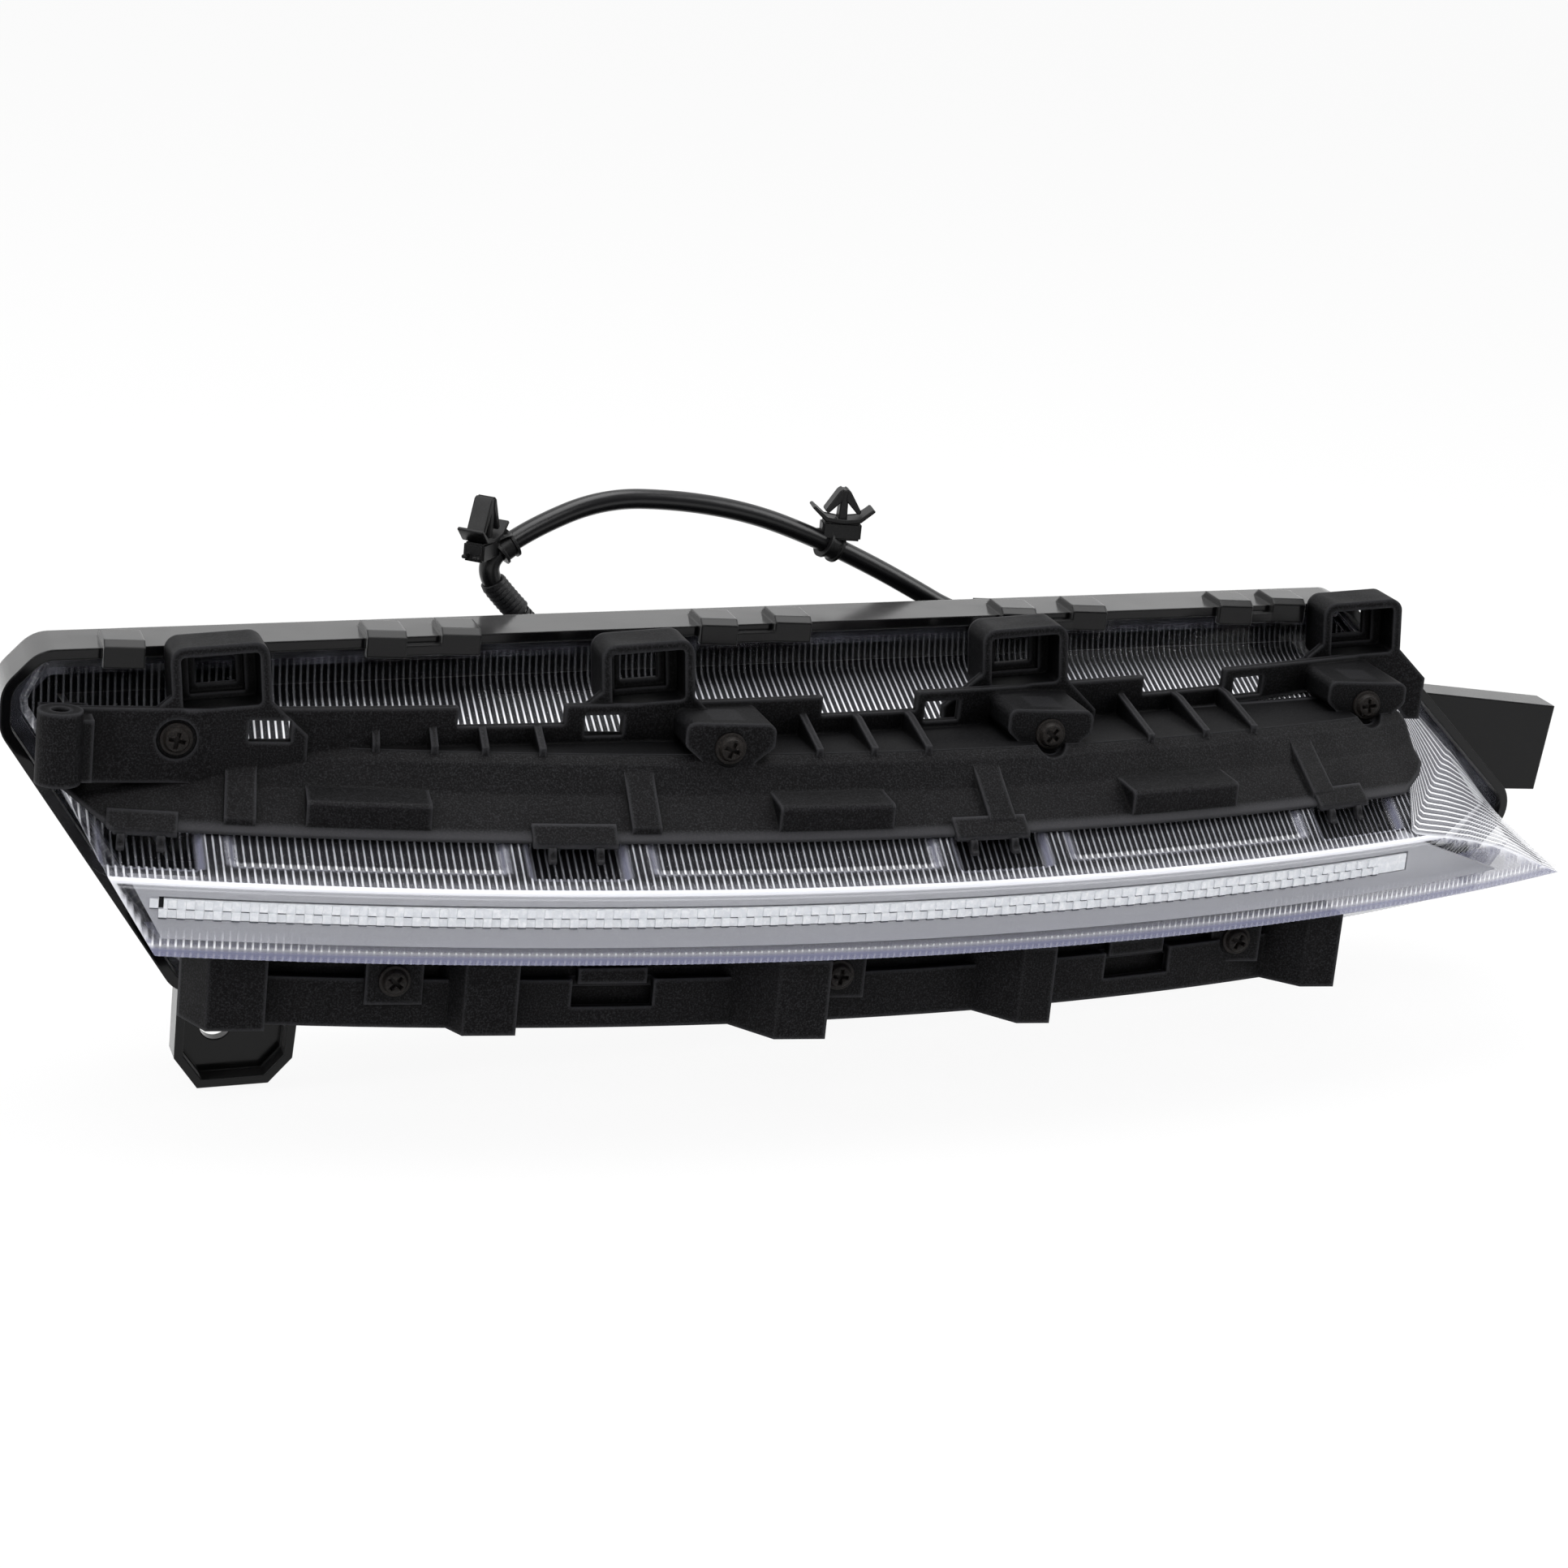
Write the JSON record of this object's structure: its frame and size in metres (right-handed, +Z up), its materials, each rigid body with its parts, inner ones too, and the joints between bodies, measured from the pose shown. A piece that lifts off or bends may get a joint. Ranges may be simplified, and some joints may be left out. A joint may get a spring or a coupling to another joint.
{
  "type": "driving light",
  "caption": "Slim bumper driving light with a clear fluted lens, black rear tray, socket bracket above, post bracket below and a short sleeved harness",
  "frame": {"origin": "Middle of the mouth of the inner trim socket, at the end of the lamp nearer the car's middle", "axes": "+X runs along the lamp to its outer end, +Y back into the bumper, +Z up"},
  "size_m": [0.523, 0.2008, 0.1656],
  "materials": {
    "tray_black": "satin moulded",
    "clear_lens": "clear fluted",
    "seal_rubber": "matte",
    "bezel_grey": "satin",
    "guide_white": "translucent",
    "board_green": "solder mask",
    "led_cream": "moulded",
    "sink_metal": "extruded",
    "bracket_black": "glass filled, matte",
    "screw_steel": "dark phosphate",
    "sleeve_black": "soft sleeve",
    "tie_black": "moulded"
  },
  "bodies": {
    "root": {"rear_housing": "tray_black", "lens": "clear_lens", "lens_seal": "seal_rubber", "bezel": "bezel_grey", "light_guide": "guide_white", "led_board": "board_green", "leds": "led_cream", "heat_sink": "sink_metal", "optic_carrier": "tray_black", "carrier_screws": "screw_steel", "inner_cover": "tray_black", "driver_board": "board_green", "upper_bracket": "bracket_black", "upper_bracket_screws": "screw_steel", "lower_bracket": "bracket_black", "lower_bracket_screws": "screw_steel", "vent_cap": "tray_black", "harness_grommet": "seal_rubber", "harness_sleeve": "sleeve_black", "harness_tape": "sleeve_black", "harness_tie_left": "tie_black", "harness_tie_right": "tie_black", "harness_connector": "tie_black"}
  },
  "joints": []
}
